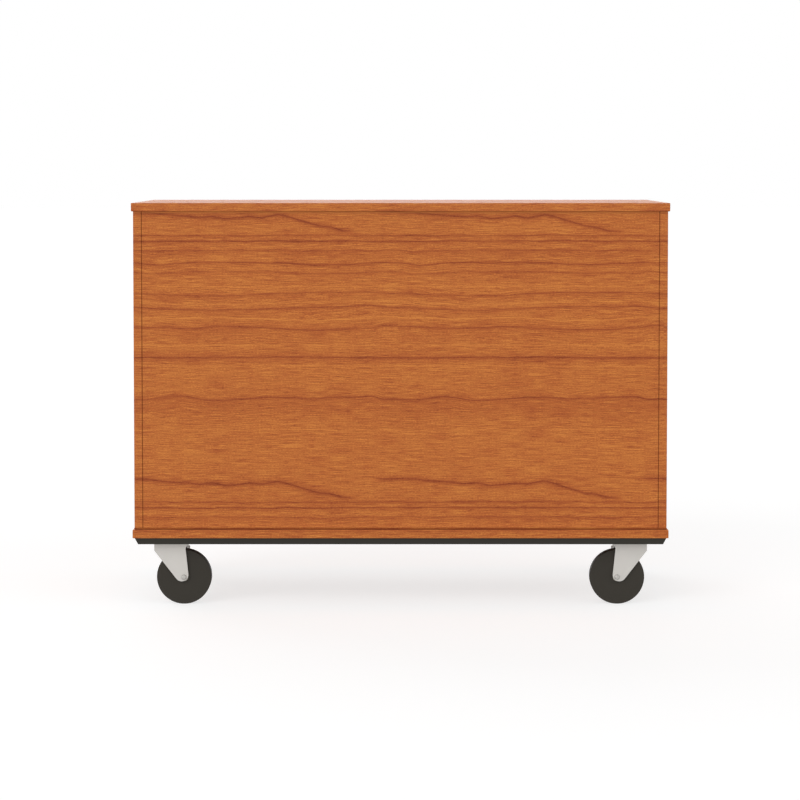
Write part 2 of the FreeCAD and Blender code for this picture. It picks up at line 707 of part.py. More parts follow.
def pull(side):
    """Bent wire pull and its two screws from behind the door."""
    x = side * (DOOR_INNER + PULL_EDGE_INSET)
    low, high = pull_heights()
    bar_y = DOOR_FACE - PULL_PROJECTION + PULL_ROD_RADIUS
    bend = PULL_BEND_RADIUS
    turn = bend * (1 - math.sqrt(0.5))
    foot_low = Vector(x, DOOR_FACE, low)
    foot_high = Vector(x, DOOR_FACE, high)
    low_arc = Part.Arc(
        Vector(x, bar_y + bend, low),
        Vector(x, bar_y + turn, low + turn),
        Vector(x, bar_y, low + bend),
    )
    high_arc = Part.Arc(
        Vector(x, bar_y, high - bend),
        Vector(x, bar_y + turn, high - turn),
        Vector(x, bar_y + bend, high),
    )
    path = Part.Wire([
        Part.makeLine(foot_low, Vector(x, bar_y + bend, low)),
        low_arc.toShape(),
        Part.makeLine(Vector(x, bar_y, low + bend), Vector(x, bar_y, high - bend)),
        high_arc.toShape(),
        Part.makeLine(Vector(x, bar_y + bend, high), foot_high),
    ])
    section = Part.Wire([Part.makeCircle(PULL_ROD_RADIUS, foot_low, Y_AXIS)])
    bar = path.makePipeShell([section], True, True)
    screws = []
    for height in (low, high):
        tip_y = DOOR_FACE - PULL_SCREW_DEPTH
        hole_start = Vector(x, tip_y - END_GAP, height)
        hole = rod(PULL_SCREW_RADIUS + PRESS, hole_start, Y_AXIS, PULL_SCREW_DEPTH + END_GAP)
        bar = bar.cut(hole)
        shank = rod(PULL_SCREW_RADIUS, Vector(x, tip_y, height), Y_AXIS, PULL_SCREW_DEPTH + PANEL)
        head = rod(PULL_SCREW_HEAD_RADIUS, Vector(x, DOOR_BACK, height), Y_AXIS, PULL_SCREW_HEAD)
        rim = [edge for edge in head.Edges if edge.CenterOfMass.y > DOOR_BACK + PULL_SCREW_HEAD - NEAR]
        screws.append(shank.fuse(head.makeFillet(PULL_SCREW_HEAD * 0.6, rim)).removeSplitter())
    return Part.makeCompound([bar] + screws)


def hinge_heights():
    """Lower ends of the two hinges of a door."""
    half = HINGE_HEIGHT / 2
    return (DOOR_LOW + HINGE_END_INSET - half, DOOR_HIGH - HINGE_END_INSET - half)


def knuckles(low, first):
    """Every second knuckle of a barrel, as low and high ends, counted from the first one."""
    pitch = HINGE_HEIGHT / HINGE_KNUCKLES
    spans = []
    for step in range(first, HINGE_KNUCKLES, 2):
        start = low + step * pitch + HINGE_KNUCKLE_GAP / 2
        end = low + (step + 1) * pitch - HINGE_KNUCKLE_GAP / 2
        spans.append((start, end))
    return spans


def hinge_leaf(flats, low, first, leaf_y, bore):
    """Leaf of a right-hand hinge: flat plates joined to their knuckles round the pin."""
    shape = flats[0]
    for flat in flats[1:]:
        shape = shape.fuse(flat)
    edge_x = SIDE_OUT - RUN
    for z0, z1 in knuckles(low, first):
        strap = block(edge_x - HINGE_LEAF, HINGE_X, leaf_y, leaf_y + HINGE_LEAF, z0, z1)
        barrel = rod(HINGE_BARREL_RADIUS, Vector(HINGE_X, HINGE_Y, z0), Z_AXIS, z1 - z0)
        shape = shape.fuse([strap, barrel])
    hole = rod(HINGE_PIN_RADIUS + bore, Vector(HINGE_X, HINGE_Y, low), Z_AXIS, HINGE_HEIGHT)
    return shape.cut(hole).removeSplitter()


def frame_leaves():
    """Leaves of the right-hand hinges that wrap the front edge of the side panel."""
    leaves = []
    for low in hinge_heights():
        high = low + HINGE_HEIGHT
        leaf_y = SIDE_FRONT - HINGE_LEAF
        edge = block(SIDE_IN - HINGE_LEAF, SIDE_OUT - RUN, leaf_y, SIDE_FRONT, low, high)
        inside = block(SIDE_IN - HINGE_LEAF, SIDE_IN, leaf_y, SIDE_FRONT + HINGE_SIDE_REACH, low, high)
        leaves.append(hinge_leaf([edge, inside], low, 0, leaf_y, PRESS))
    return Part.makeCompound(leaves)


def door_leaves():
    """Leaves of the right-hand hinges on the back of the door."""
    leaves = []
    for low in hinge_heights():
        inner = SIDE_OUT - HINGE_DOOR_REACH
        rear = DOOR_BACK + HINGE_LEAF
        flat = block(inner, SIDE_OUT - RUN, DOOR_BACK, rear, low, low + HINGE_HEIGHT)
        leaves.append(hinge_leaf([flat], low, 1, DOOR_BACK, FIT))
    return Part.makeCompound(leaves)


def hinge_pins():
    """Pins of the right-hand hinges with rounded tips."""
    pins = []
    for low in hinge_heights():
        start = low + HINGE_KNUCKLE_GAP / 2
        end = low + HINGE_HEIGHT - HINGE_KNUCKLE_GAP / 2
        tip_radius = HINGE_BARREL_RADIUS - HINGE_TIP_STEP
        shank = rod(HINGE_PIN_RADIUS, Vector(HINGE_X, HINGE_Y, start), Z_AXIS, end - start)
        upper = rod(tip_radius, Vector(HINGE_X, HINGE_Y, end), Z_AXIS, HINGE_TIP_HEIGHT)
        tip_low = Vector(HINGE_X, HINGE_Y, start - HINGE_TIP_HEIGHT)
        lower = rod(tip_radius, tip_low, Z_AXIS, HINGE_TIP_HEIGHT)
        crown = HINGE_TIP_HEIGHT * 0.8
        upper_rim = [edge for edge in upper.Edges if edge.CenterOfMass.z > end + HINGE_TIP_HEIGHT - NEAR]
        lower_rim = [edge for edge in lower.Edges if edge.CenterOfMass.z < start - HINGE_TIP_HEIGHT + NEAR]
        tips = [upper.makeFillet(crown, upper_rim), lower.makeFillet(crown, lower_rim)]
        pins.append(shank.fuse(tips).removeSplitter())
    return Part.makeCompound(pins)


# Lock, keeper and slide bolt

def lock_body():
    """Lock housing with a round flange, seated through the right door."""
    front = DOOR_FACE - LOCK_FLANGE
    flange = rod(LOCK_FLANGE_RADIUS, Vector(LOCK_X, front, LOCK_Z), Y_AXIS, LOCK_FLANGE)
    rim = [edge for edge in flange.Edges if edge.CenterOfMass.y < front + NEAR]
    flange = flange.makeFillet(LOCK_FLANGE * 0.5, rim)
    barrel = rod(LOCK_BARREL_RADIUS, Vector(LOCK_X, DOOR_FACE, LOCK_Z), Y_AXIS, PANEL + LOCK_NUT)
    shape = flange.fuse(barrel)
    length = LOCK_FLANGE + PANEL + LOCK_NUT
    bore = rod(LOCK_PLUG_RADIUS + FIT, Vector(LOCK_X, front, LOCK_Z), Y_AXIS, length)
    return shape.cut(bore).removeSplitter()


def lock_nut():
    """Nut that clamps the lock housing from behind the door."""
    start = Vector(LOCK_X, DOOR_BACK, LOCK_Z)
    nut = hexagon(LOCK_NUT_ACROSS, start, Y_AXIS, LOCK_NUT)
    return nut.cut(rod(LOCK_BARREL_RADIUS + PRESS, start, Y_AXIS, LOCK_NUT))


def lock_plug():
    """Plug with a key slot in front and a square tail behind."""
    front = DOOR_FACE - LOCK_FLANGE
    end = DOOR_BACK + LOCK_NUT + LOCK_CAM_GAP
    plug = rod(LOCK_PLUG_RADIUS, Vector(LOCK_X, front, LOCK_Z), Y_AXIS, end - front)
    half = LOCK_TAIL / 2
    slot_half = KEY_SLOT_WIDTH / 2
    slot_low = LOCK_Z - KEY_SLOT_HEIGHT / 2
    tail = block(LOCK_X - half, LOCK_X + half, end, end + LOCK_CAM, LOCK_Z - half, LOCK_Z + half)
    slot_end = front + KEY_SLOT_DEPTH
    slot_high = slot_low + KEY_SLOT_HEIGHT
    slot = block(LOCK_X - slot_half, LOCK_X + slot_half, front, slot_end, slot_low, slot_high)
    return plug.fuse(tail).cut(slot).removeSplitter()


def lock_cam():
    """Cam that hangs down when unlocked, and the screw that holds it on the plug."""
    half = LOCK_CAM_WIDTH / 2
    start = Vector(LOCK_X, CAM_Y, LOCK_Z)
    low = LOCK_Z - LOCK_CAM_LENGTH + half
    bar = block(LOCK_X - half, LOCK_X + half, CAM_Y, CAM_Y + LOCK_CAM, low, LOCK_Z)
    bar = bar.fuse([
        rod(half, start, Y_AXIS, LOCK_CAM),
        rod(half, Vector(LOCK_X, CAM_Y, low), Y_AXIS, LOCK_CAM),
    ])
    hole = LOCK_TAIL / 2 + FIT
    square = block(LOCK_X - hole, LOCK_X + hole, CAM_Y, CAM_Y + LOCK_CAM, LOCK_Z - hole, LOCK_Z + hole)
    bar = bar.cut(square)
    screw = rod(LOCK_PLUG_RADIUS, start + Y_AXIS * LOCK_CAM, Y_AXIS, LOCK_CAM)
    return Part.makeCompound([bar.removeSplitter(), screw])


def lock_keeper():
    """Stepped keeper on the left door, behind which the lock's cam turns."""
    step = DOOR_BACK + LOCK_NUT
    edge = -DOOR_INNER - EDGE_ROUND
    low = LOCK_Z - KEEPER_HEIGHT / 2
    section = [
        (edge, DOOR_BACK),
        (edge, step),
        (edge - LOCK_CAM_WIDTH * 0.7, step),
        (edge - LOCK_CAM_WIDTH * 0.8, DOOR_BACK + KEEPER_FOOT),
        (edge - LOCK_CAM_WIDTH * 1.5, DOOR_BACK + KEEPER_FOOT),
        (edge - LOCK_CAM_WIDTH * 1.5, DOOR_BACK),
    ]
    return prism([Vector(x, y, low) for x, y in section], Z_AXIS * KEEPER_HEIGHT)


def bolt_tip():
    """Height of the slide bolt's upper end when it is drawn back."""
    return DOOR_HIGH


def bolt_housing():
    """Plate with two guides on the back of the left door."""
    tip = bolt_tip()
    half = BOLT_PLATE_WIDTH / 2
    high = tip - BOLT_GUIDE_HEIGHT / 2
    low = tip - BOLT_LENGTH + BOLT_GUIDE_HEIGHT / 2
    shape = block(BOLT_X - half, BOLT_X + half, DOOR_BACK, DOOR_BACK + BOLT_PLATE, low, high)
    guide_half = BOLT_GUIDE_WIDTH / 2
    guide_end = BOLT_Y + guide_half
    for z0 in (low, high - BOLT_GUIDE_HEIGHT):
        z1 = z0 + BOLT_GUIDE_HEIGHT
        guide = block(BOLT_X - guide_half, BOLT_X + guide_half, DOOR_BACK, guide_end, z0, z1)
        outer = [edge for edge in upright_edges(guide) if edge.CenterOfMass.y > guide_end - NEAR]
        shape = shape.fuse(guide.makeFillet(guide_half * 0.6, outer))
    bore = rod(BOLT_RADIUS + FIT, Vector(BOLT_X, BOLT_Y, low), Z_AXIS, BOLT_LENGTH)
    return shape.cut(bore).removeSplitter()


def slide_bolt():
    """Round bolt with a knob that slides up into the top panel."""
    tip = bolt_tip()
    shape = rod(BOLT_RADIUS, Vector(BOLT_X, BOLT_Y, tip - BOLT_LENGTH), Z_AXIS, BOLT_LENGTH)
    rim = [edge for edge in shape.Edges if edge.CenterOfMass.z > tip - NEAR]
    shape = shape.makeChamfer(BOLT_RADIUS / 4, rim)
    knob_z = tip - BOLT_LENGTH + 3 * BOLT_GUIDE_HEIGHT
    knob = rod(BOLT_KNOB_RADIUS, Vector(BOLT_X, BOLT_Y, knob_z), Y_AXIS, BOLT_KNOB_LENGTH)
    end = [edge for edge in knob.Edges if edge.CenterOfMass.y > BOLT_Y + BOLT_KNOB_LENGTH - NEAR]
    return shape.fuse(knob.makeFillet(BOLT_KNOB_RADIUS * 0.5, end)).removeSplitter()


# Magnetic catches

def strike_plate(side):
    """Steel plate on the back of a door, opposite its catch."""
    middle = side * CATCH_OFFSET
    half = CATCH_LENGTH / 2
    low = CEILING - CATCH_HEIGHT
    plate = block(middle - half, middle + half, DOOR_BACK, DOOR_BACK + STRIKE, low, DOOR_HIGH - EDGE_ROUND)
    return plate


def door_catches():
    """Catch bodies under the top panel, each with two pole plates in front."""
    catches = []
    for side in (-1, 1):
        middle = side * CATCH_OFFSET
        half = CATCH_LENGTH / 2
        pole_y = DOOR_BACK + STRIKE + RUN
        low = CEILING - CATCH_HEIGHT
        front = pole_y + CATCH_POLE_REACH
        body = block(middle - half, middle + half, front, pole_y + CATCH_DEPTH, low, CEILING)
        rear = [edge for edge in upright_edges(body) if edge.CenterOfMass.y > pole_y + CATCH_DEPTH / 2]
        body = body.makeFillet(CATCH_ROUND, rear)
        poles = []
        for height in (low + CATCH_HEIGHT * 0.25, low + CATCH_HEIGHT * 0.6):
            reach = half * 0.6
            pole_end = pole_y + 2 * CATCH_POLE_REACH
            poles.append(block(middle - reach, middle + reach, pole_y, pole_end, height, height + STRIKE))
        catches.append(body.fuse(poles).removeSplitter())
    return Part.makeCompound(catches)


# Export of every piece

def save(name, shape):
    """Write one node."""
    shape.exportStep("parts/" + name + ".step")


def save_casters():
    """Write the pieces of the four casters."""
    pieces = {"axle": axle(), "wheel": wheel(), "wheel_bush": wheel_bush()}
    pins = []
    rings = []
    for name, place, heading in caster_places():
        braked = name.startswith("front")
        save(name + "_caster_plate", placed(caster_plate(), place, heading))
        save(name + "_fork", placed(fork(braked), place, heading))
        for piece, shape in pieces.items():
            save(name + "_" + piece, placed(shape, place, heading))
        if braked:
            save(name + "_brake_pedal", placed(brake_pedal(), place, heading))
            save(name + "_brake_pin", placed(brake_pin(), place, heading))
        pins.append(placed(king_pin(), place, 0))
        rings.append(placed(balls(), place, 0))
    save("caster_king_pins", Part.makeCompound(pins))
    save("caster_balls", Part.makeCompound(rings))
    save("caster_bolts", caster_bolts())


def save_case():
    """Write the panels, the shelves and the base frame."""
    save("top_panel", top_panel())
    save("bottom_panel", bottom_panel())
    save("right_side_panel", side_panel())
    save("left_side_panel", mirrored(side_panel()))
    save("back_panel", back_panel())
    save("lower_shelf", shelf(LOWER_SHELF_Z))
    save("upper_shelf", shelf(UPPER_SHELF_Z))
    save("shelf_pins", shelf_pins())
    save("panel_dowels", dowels(0, 0))
    save("base_frame", base_frame())


def save_doors():
    """Write the doors, their hinges, pulls, lock, bolt and catches."""
    save("left_door", door_board(-1))
    save("right_door", right_door())
    save("left_pull", pull(-1))
    save("right_pull", pull(1))
    hinge = {
        "hinge_frame_leaves": frame_leaves(),
        "hinge_door_leaves": door_leaves(),
        "hinge_pins": hinge_pins(),
    }
    for name, shape in hinge.items():
        save("right_" + name, shape)
        save("left_" + name, mirrored(shape))
    save("lock_body", lock_body())
    save("lock_nut", lock_nut())
    save("lock_plug", lock_plug())
    save("lock_cam", lock_cam())
    save("lock_keeper", lock_keeper())
    save("bolt_housing", bolt_housing())
    save("slide_bolt", slide_bolt())
    save("left_strike_plate", strike_plate(-1))
    save("right_strike_plate", strike_plate(1))
    save("door_catches", door_catches())


os.makedirs("parts", exist_ok=True)
save_case()
save_casters()
save_doors()
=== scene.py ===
"""Looks of the mobile storage cabinet: finishes, small screws, studio light and camera.

Sizes are in metres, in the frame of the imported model: doors at -Y, plain rear at +Y, floor at Z = 0.
"""

import json
import math

import bmesh
import bpy
from mathutils import Matrix, Vector


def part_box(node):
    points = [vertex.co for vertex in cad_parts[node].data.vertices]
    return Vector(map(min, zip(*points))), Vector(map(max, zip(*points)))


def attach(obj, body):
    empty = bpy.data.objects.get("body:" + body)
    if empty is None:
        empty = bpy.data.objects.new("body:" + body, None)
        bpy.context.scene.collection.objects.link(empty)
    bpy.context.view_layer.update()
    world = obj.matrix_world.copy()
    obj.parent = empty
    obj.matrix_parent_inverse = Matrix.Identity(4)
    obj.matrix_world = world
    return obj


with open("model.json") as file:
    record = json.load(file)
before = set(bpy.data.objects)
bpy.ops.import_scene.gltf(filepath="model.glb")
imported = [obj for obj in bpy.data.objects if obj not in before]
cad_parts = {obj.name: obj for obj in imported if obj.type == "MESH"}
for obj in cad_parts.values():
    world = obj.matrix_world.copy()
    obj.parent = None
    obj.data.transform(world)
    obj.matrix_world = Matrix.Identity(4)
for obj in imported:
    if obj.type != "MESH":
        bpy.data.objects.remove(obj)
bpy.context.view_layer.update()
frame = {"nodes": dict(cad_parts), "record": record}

# Camera, seen from behind the cabinet: pitch in degrees, lens and sensor in millimetres
CAMERA_DISTANCE = 6.5
CAMERA_ABOVE_TOP = 0.0863
CAMERA_PITCH = 3.248
CAMERA_LENS = 129.36
CAMERA_SENSOR = 36.0
CAMERA_SHIFT_X = -0.0007
CAMERA_SHIFT_Y = -0.0901

# Even light from all round, at the horizon and overhead
WORLD_LIGHT = 0.75
OVERHEAD_LIGHT = 0.24
# Far lamps: name, azimuth and elevation in degrees, strength, softness in degrees
LAMPS = [
    ("key_light", 150, 18, 1.40, 50),
    ("fill_light", 225, 15, 0.62, 70),
    ("door_light", 20, 20, 1.26, 60),
]
# Floor: half its width, its grey, and the light that it adds where it is looked at
FLOOR_REACH = 60.0
FLOOR_GREY = 0.45
FLOOR_GLOW = 0.69

# Printed wood sheet: one repeat of the grain, and where it starts on the rear, the sides and the top
SHEET_LENGTH = 0.603
SHEET_HEIGHT = 0.607
SHEET_BELOW_TOP = 0.017
SIDE_START = 0.31
TOP_START = 0.62
# How far the sheets of case, doors, shelves and lower slab are moved along and across the grain
CASE_SHEET = (0.0, 0.0)
DOOR_SHEET = (0.23, 0.31)
SHELF_SHEET = (0.41, 0.12)
BASE_SHEET = (0.0, 0.0205)
# A face counts as square to an axis from this share of its direction on
SQUARE_ON = 0.72

# Growth lines: height below the top of the sheet, and strength
GRAIN_LINES = [
    (0.056, 0.70),
    (0.069, 0.95),
    (0.090, 0.55),
    (0.119, 0.85),
    (0.140, 0.55),
    (0.188, 0.65),
    (0.221, 0.75),
    (0.266, 0.66),
    (0.333, 0.86),
    (0.426, 0.80),
]
# Narrow golden streaks: height and strength
GRAIN_GLINTS = [
    (0.172, 0.70),
    (0.209, 0.70),
    (0.245, 1.00),
    (0.306, 0.50),
    (0.352, 0.65),
    (0.498, 0.45),
]
# Broad darker stretches: height, and how much darker the wood is there
GRAIN_SHADES = [
    (0.086, 0.00),
    (0.098, 0.06),
    (0.108, 0.00),
    (0.250, 0.00),
    (0.262, 0.06),
    (0.276, 0.02),
    (0.312, 0.00),
    (0.326, 0.07),
    (0.345, 0.05),
    (0.358, 0.00),
    (0.402, 0.01),
    (0.420, 0.05),
    (0.434, 0.07),
    (0.460, 0.07),
    (0.480, 0.00),
]
# Tone of plain wood above and below a line, where 0 is the darkest tone and 1 the palest
TONE_ABOVE = 0.74
TONE_BELOW = 0.70
# Steps across a line of full strength: offset in height, tone of the wood there, depth
LINE_STEPS = [
    (-0.0050, TONE_ABOVE, 0.00),
    (-0.0017, TONE_ABOVE, 0.16),
    (0.0000, TONE_ABOVE, 0.60),
    (0.0026, TONE_BELOW, 0.14),
    (0.0080, TONE_BELOW, 0.00),
]
# Steps across a golden streak of full strength: offset in height, rise in tone
GLINT_STEPS = [
    (-0.0026, 0.00),
    (0.0000, 0.26),
    (0.0026, 0.00),
]
# Shares of their strength that lines have where they are weakest and strongest
LINE_WEAKEST = 0.72
LINE_STRONGEST = 1.20
# A colour ramp holds 32 stops, so the height of the sheet is cut into this many ramps
RAMP_COUNT = 4

# Waves of all lines: rise of the slow ones, of the quick ones, and of the quick ones in the first line
WAVE_RISE = 0.008
RIPPLE_RISE = 0.005
FIRST_LINE_RIPPLE = 0.004
# Waves of single lines: the largest rise, and the distances from the line where they weaken and end
WAVE_LIMIT = 0.010
WAVE_NEAR = 0.016
WAVE_FAR = 0.034
# By the line's height: places along the sheet, from 0 to 1, where the wave turns, and its rise there
LINE_WAVES = {
    0.119: [
        (0.00, 0.0010), (0.08, -0.0045), (0.25, 0.0015),
        (0.55, 0.0010), (0.72, -0.0035), (0.95, 0.0015),
    ],
    0.205: [
        (0.00, 0.0005), (0.14, -0.0030), (0.33, -0.0040),
        (0.62, 0.0020), (0.88, 0.0045), (1.00, 0.0005),
    ],
    0.266: [
        (0.04, 0.0020), (0.18, 0.0000), (0.39, 0.0035),
        (0.70, -0.0045), (0.89, -0.0005), (0.96, 0.0060),
    ],
    0.426: [
        (0.04, -0.0030), (0.17, 0.0050), (0.30, -0.0040), (0.54, 0.0020),
        (0.67, -0.0015), (0.90, 0.0045), (0.95, -0.0020),
    ],
}

# First growth line: its largest fall, and its fall at places along the sheet
FALL_LIMIT = 0.05
FIRST_LINE_FALL = [
    (0.00, 0.002),
    (0.06, 0.003),
    (0.10, 0.007),
    (0.19, 0.011),
    (0.25, 0.015),
    (0.30, 0.013),
    (0.35, 0.018),
    (0.41, 0.016),
    (0.44, 0.013),
    (0.49, 0.016),
    (0.55, 0.009),
    (0.58, 0.013),
    (0.66, 0.028),
    (0.70, 0.035),
    (0.75, 0.038),
    (0.79, 0.045),
    (0.87, 0.048),
    (0.88, 0.000),
    (0.94, 0.002),
]
# Across the line: its reach to each side as a share of the sheet's height, its full depth in tone,
# and the share of that depth at places from the upper end of the reach, 0, to the lower end, 1
FIRST_LINE_REACH = 0.03
FIRST_LINE_DEPTH = 0.58
FIRST_LINE_STEPS = [
    (0.00, 0.00),
    (0.26, 0.08),
    (0.42, 0.30),
    (0.495, 1.00),
    (0.55, 0.55),
    (0.68, 0.12),
    (1.00, 0.00),
]
# Places along the sheet between which it fades out, and between which it fades in again
FADE_OUT = (0.78, 0.87)
FADE_IN = (0.89, 0.96)

# Amounts by which small features move the tone of the wood
FIBRE_IN_LINES = 1.1
FIBRE_IN_WOOD = 2.1
BAND_AMOUNT = 0.20
CLOUD_AMOUNT = 0.20
SPECK_AMOUNT = 0.9
PORE_DEPTH = 0.30
TONE_LIFT = 0.045

# Joints of the case, with painted light and shade: a pale strip below the upper slab, a dark line above
# the lower one, dark seams
PAINTED_LIGHT_FROM = 0.0050
PAINTED_LIGHT_TO = 0.0010
PAINTED_LIGHT_STRENGTH = 0.8
FOOT_SHADE_HEIGHT = 0.0060
FOOT_SHADE_STRENGTH = 0.85
SEAM_SHADE_HALF = 0.0012
SEAM_SHADE_STRENGTH = 0.5

# Colours as seen on a display, from 0 to 255, those of the wood by its tone
WOOD_COLOURS = [
    (0.00, (121, 52, 32)),
    (0.25, (153, 77, 44)),
    (0.50, (176, 93, 50)),
    (0.72, (191, 106, 55)),
    (1.00, (217, 138, 68)),
]
# Colour of the painted light under the upper slab, and of the painted shade at the joints
PAINTED_LIGHT_COLOUR = (236, 150, 84)
JOINT_SHADE_COLOUR = (70, 22, 6)
ZINC_COLOUR = (197, 194, 189)
RUBBER_COLOUR = (54, 50, 43)
# Colours of the painted shade inside the forks and in a keyway
FORK_SHADE_COLOUR = (34, 32, 30)
KEYWAY_SHADE_COLOUR = (26, 25, 24)
ZINC_ROUGHNESS = 0.48
CHROME_ROUGHNESS = 0.30
RUBBER_ROUGHNESS = 0.62
# A keyway, darkened with painted shade, starts this far behind the front of its plug
KEYWAY_BEHIND = 0.0004
# A fork gets painted shade on faces that look down, and on those toward its middle from this far off it
LOOKS_DOWN = 0.95
FORK_CLEAR = 0.004
# A wheel's tread, darkened with painted shade, has at most this share of its direction along the axle
TREAD_TURN = 0.6

# Axis of each caster's axle at rest: 0 is X and 1 is Y
CASTER_AXLES = {"rear_left": 1, "rear_right": 1, "front_left": 0, "front_right": 0}

# Screw heads: radius and height of each kind
HINGE_HEAD = (0.0034, 0.0014)
CATCH_HEAD = (0.0028, 0.0012)
KEEPER_HEAD = (0.0026, 0.0012)
HOUSING_HEAD = (0.0024, 0.0012)
STRIKE_HEAD = (0.0022, 0.0005)
# Outline of a head: share of the radius, share of the height
HEAD_OUTLINE = [(1.0, 0.0), (1.0, 0.30), (0.93, 0.62), (0.80, 0.86), (0.64, 1.0)]
HEAD_SIDES = 24
# Cross recess: length and half width of an arm as shares of the radius, taper, height of its bottom
RECESS_ARM = 0.48
RECESS_HALF = 0.13
RECESS_TAPER = 0.8
RECESS_BOTTOM = 0.45
# Turn of the first head in degrees, and of each next one
FIRST_TURN = 25
NEXT_TURN = 47
# Edges sharper than this many degrees stay sharp
SHARP_ANGLE = 32

# Hinges: height and thickness of a leaf
HINGE_HEIGHT = 0.070
HINGE_LEAF = 0.0016
# Holes of the leaf on the case: height above its lower end, distance from its rear edge
CASE_HOLES = [(0.013, 0.009), (0.057, 0.009), (0.035, 0.020)]
# Holes of the leaf on the door: heights above its lower end, distance from its free edge
DOOR_HOLES = [0.013, 0.035, 0.057]
DOOR_HOLE_INSET = 0.010
# Other holes: distances from the edge or the middle of their piece
STRIKE_HOLE_OFF = 0.0185
CATCH_HOLE_INSETS = (0.0055, 0.0405)
CATCH_HOLE_BACK = 0.006
KEEPER_HOLE_INSET = 0.0045
KEEPER_HOLE_RISE = 0.009
HOUSING_HOLE_INSET = 0.0036
HOUSING_HOLE_RISE = 0.022
# Thickness of the keeper's and the bolt housing's plates
PLATE = 0.002

CASE_LOW, CASE_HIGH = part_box("top_panel")
CASE_TOP = CASE_HIGH.z
CASE_REAR = CASE_HIGH.y
CASE_RIGHT = CASE_HIGH.x
CEILING = CASE_LOW.z
FLOOR_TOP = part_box("bottom_panel")[1].z
BACK_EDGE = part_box("back_panel")[1].x


# Colours and nodes

def linear(red, green, blue):
    """Display colour from 0 to 255, as the linear colour that shaders use."""
    channels = []
    for value in (red, green, blue):
        value /= 255
        channels.append(value / 12.92 if value <= 0.04045 else ((value + 0.055) / 1.055) ** 2.4)
    return tuple(channels) + (1.0,)


def dimmed(colour, share):
    """Darker form of a colour."""
    return tuple(channel * share for channel in colour[:3]) + (1.0,)


def grey(value):
    """Ramp colour that holds one number."""
    return (value, value, value, 1.0)


class Nodes:
    """Short calls for the nodes of one tree."""

    def __init__(self, tree):
        self.tree = tree

    def add(self, kind, **settings):
        """New node with its settings."""
        node = self.tree.nodes.new(kind)
        for key, value in settings.items():
            setattr(node, key, value)
        return node

    def feed(self, socket, value):
        """Link or set one input."""
        if isinstance(value, bpy.types.NodeSocket):
            self.tree.links.new(value, socket)
        else:
            socket.default_value = value

    def math(self, operation, first, second=0.0, third=0.0):
        """Math node."""
        node = self.add("ShaderNodeMath", operation=operation)
        for socket, value in zip(node.inputs, (first, second, third)):
            self.feed(socket, value)
        return node.outputs[0]

    def split(self, vector):
        """The three values of a vector."""
        node = self.add("ShaderNodeSeparateXYZ")
        self.feed(node.inputs[0], vector)
        return node.outputs[0], node.outputs[1], node.outputs[2]

    def remap(self, value, low, high, to_low=0.0, to_high=1.0, smooth=False):
        """Map Range node."""
        node = self.add("ShaderNodeMapRange")
        if smooth:
            node.interpolation_type = "SMOOTHSTEP"
        for socket, number in zip(node.inputs, (value, low, high, to_low, to_high)):
            self.feed(socket, number)
        return node.outputs[0]

    def seen(self):
        """1 where the camera, a mirror or glass looks, and 0 for light that falls on things."""
        path = self.add("ShaderNodeLightPath")
        seen = path.outputs["Is Camera Ray"]
        for ray in ("Is Glossy Ray", "Is Transmission Ray"):
            seen = self.math("MAXIMUM", seen, path.outputs[ray])
        return seen


